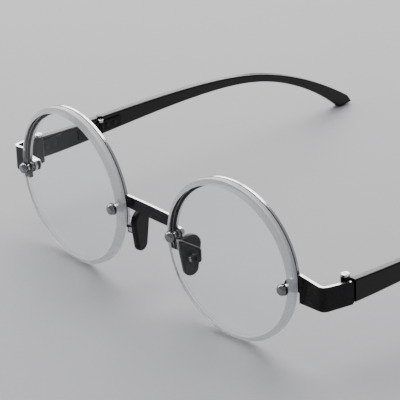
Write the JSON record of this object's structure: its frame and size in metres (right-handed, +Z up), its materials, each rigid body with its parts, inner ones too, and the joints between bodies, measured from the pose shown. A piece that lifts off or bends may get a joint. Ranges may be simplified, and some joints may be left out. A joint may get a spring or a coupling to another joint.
{
  "type": "half rim eyeglasses",
  "caption": "Round clear lenses screwed behind a thin black brow bar each, with a flat bridge, rocking nose pads, bent end pieces and black temples that fold at two hinges.",
  "frame": {"origin": "on the surface the open pair stands on, at the middle of the bounding box seen from above", "axes": "+X to the wearer's left, +Y from the lenses back to the temple tips, +Z up; the pair stands open on the bottoms of both lenses and the tips of both temples"},
  "size_m": [0.1404, 0.1594, 0.0501],
  "materials": {
    "clear_lens": "polished clear resin with a ground, satin edge and bevel",
    "clear_plastic": "clear moulded sleeve",
    "dark_washer": "soft matt",
    "bright_steel": "bright turned steel",
    "black_chrome": "black chrome, polished dome",
    "black_metal": "gloss black plating with bright polished sheet edges",
    "hinge_metal": "black plated, satin",
    "pad_fitting": "dark nickel wire and box",
    "black_acetate": "polished black with soft edges",
    "core_steel": "plain flat steel",
    "pad_silicone": "smooth matt black silicone"
  },
  "bodies": {
    "front": {"bridge": "black_metal", "lens_screws": "bright_steel", "cap_nuts": "black_chrome", "nut_washers": "dark_washer", "lens_bushings": "clear_plastic", "fold_hinge_screws": "bright_steel", "pad_screws": "bright_steel", "left_lens": "clear_lens", "left_brow_bar": "black_metal", "left_end_piece": "black_metal", "left_front_hinge_leaf": "hinge_metal", "left_pad_arm": "pad_fitting", "left_pad_box": "pad_fitting", "right_lens": "clear_lens", "right_brow_bar": "black_metal", "right_end_piece": "black_metal", "right_front_hinge_leaf": "hinge_metal", "right_pad_arm": "pad_fitting", "right_pad_box": "pad_fitting"},
    "left_link": {"left_temple_link": "black_acetate", "left_link_front_leaf": "hinge_metal", "left_link_rear_leaf": "hinge_metal", "left_link_pins": "bright_steel", "left_arm_hinge_screw": "bright_steel"},
    "left_arm": {"left_temple_arm": "black_acetate", "left_arm_core": "core_steel", "left_arm_hinge_leaf": "hinge_metal", "left_arm_pins": "bright_steel"},
    "left_pad": {"left_nose_pad": "pad_silicone", "left_pad_core": "core_steel"},
    "right_link": {"right_temple_link": "black_acetate", "right_link_front_leaf": "hinge_metal", "right_link_rear_leaf": "hinge_metal", "right_link_pins": "bright_steel", "right_arm_hinge_screw": "bright_steel"},
    "right_arm": {"right_temple_arm": "black_acetate", "right_arm_core": "core_steel", "right_arm_hinge_leaf": "hinge_metal", "right_arm_pins": "bright_steel"},
    "right_pad": {"right_nose_pad": "pad_silicone", "right_pad_core": "core_steel"}
  },
  "joints": [
    {"name": "left_temple_fold", "type": "hinge", "parent": "front", "child": "left_link", "pos_m": [0.0675, -0.06067, 0.02291], "axis": [0, -0.0628, 0.998], "range_deg": [0, 90]},
    {"name": "right_temple_fold", "type": "hinge", "parent": "front", "child": "right_link", "pos_m": [-0.0675, -0.06067, 0.02291], "axis": [0, 0.0628, -0.998], "range_deg": [0, 84]},
    {"name": "left_arm_fold", "type": "hinge", "parent": "left_link", "child": "left_arm", "pos_m": [0.0675, -0.03548, 0.02328], "axis": [0, 0.0147, -0.9999], "range_deg": [-90, 0]},
    {"name": "right_arm_fold", "type": "hinge", "parent": "right_link", "child": "right_arm", "pos_m": [-0.0675, -0.03548, 0.02328], "axis": [0, -0.0147, 0.9999], "range_deg": [-84, 0]},
    {"name": "left_pad_rock", "type": "hinge", "parent": "front", "child": "left_pad", "pos_m": [0.01379, -0.06883, 0.01656], "axis": [-0.1736, -0.9829, -0.0618], "range_deg": [-6, 6]},
    {"name": "right_pad_rock", "type": "hinge", "parent": "front", "child": "right_pad", "pos_m": [-0.01379, -0.06883, 0.01656], "axis": [0.1736, -0.9829, -0.0618], "range_deg": [-6, 6]}
  ]
}
